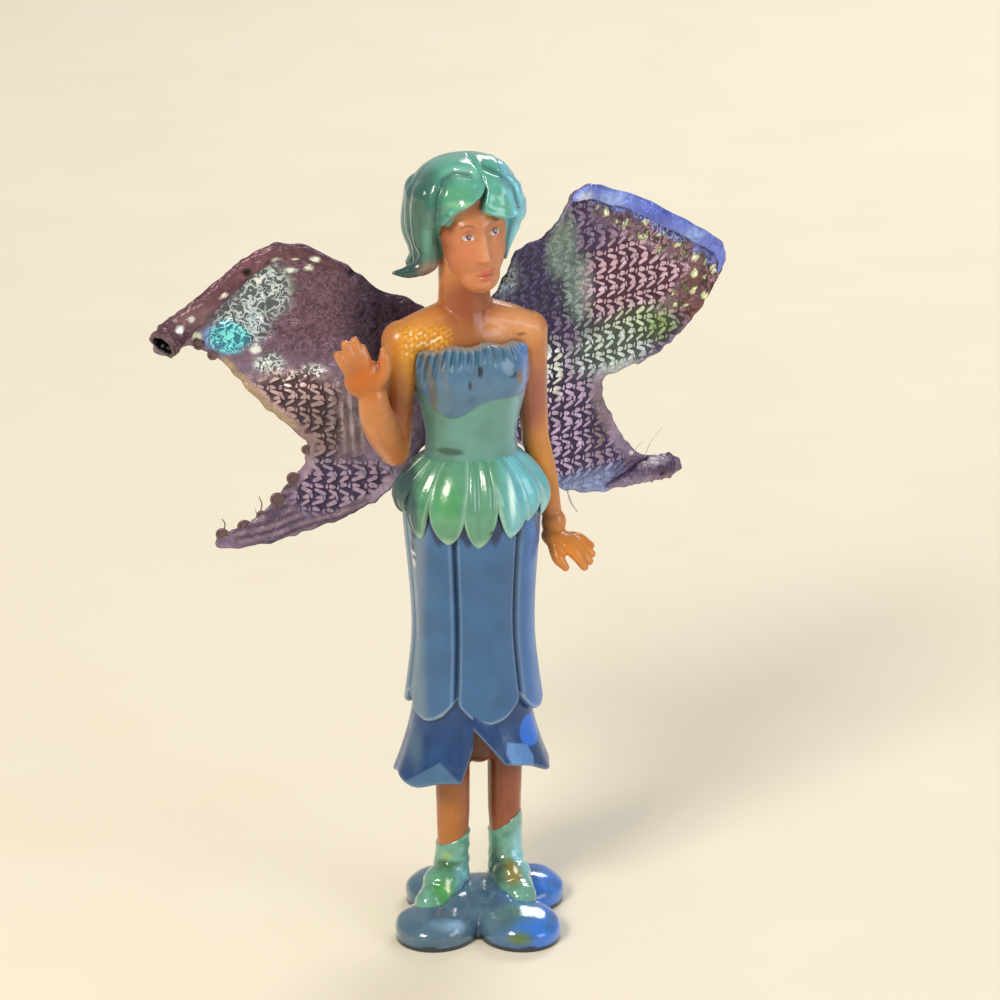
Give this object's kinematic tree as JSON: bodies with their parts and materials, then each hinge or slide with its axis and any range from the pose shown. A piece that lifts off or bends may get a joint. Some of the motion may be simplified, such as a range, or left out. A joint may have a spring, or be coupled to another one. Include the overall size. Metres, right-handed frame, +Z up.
{
  "type": "fairy figurine",
  "caption": "Small moulded figurine of a girl in a petal dress standing on a flower base, one hand raised, with a pair of knitted fabric wings glued to the back.",
  "frame": {"origin": "middle of the flat underside of the flower base, on the surface it stands on", "axes": "+Z up through the head; -Y towards the notch between the two front petals of the base; +X towards the figure's left hand"},
  "size_m": [0.043, 0.0241, 0.0598],
  "materials": {
    "painted_plastic": "moulded soft plastic with glossy paint in blue, seafoam green, turquoise and tan",
    "wing_fabric": "fine mauve knit with metallic thread and patches of shiny film",
    "skin_paint": "satin tan paint on the face, chest, arms and legs",
    "hair_paint": "glossy turquoise paint, greener on the right",
    "bodice_paint": "pearly seafoam paint with a steel blue band at the top",
    "peplum_paint": "pearly leaf green paint that turns aqua on the left hip",
    "skirt_paint": "satin steel blue paint on the panels of the long skirt",
    "underskirt_paint": "satin royal blue paint with lighter facets at the hem",
    "slipper_paint": "pearly green and aqua paint on the slippers",
    "base_paint": "glossy blue paint, brighter on the left, with a black lower edge"
  },
  "bodies": {
    "root": {"figure": "painted_plastic", "wings": "wing_fabric"}
  },
  "joints": []
}
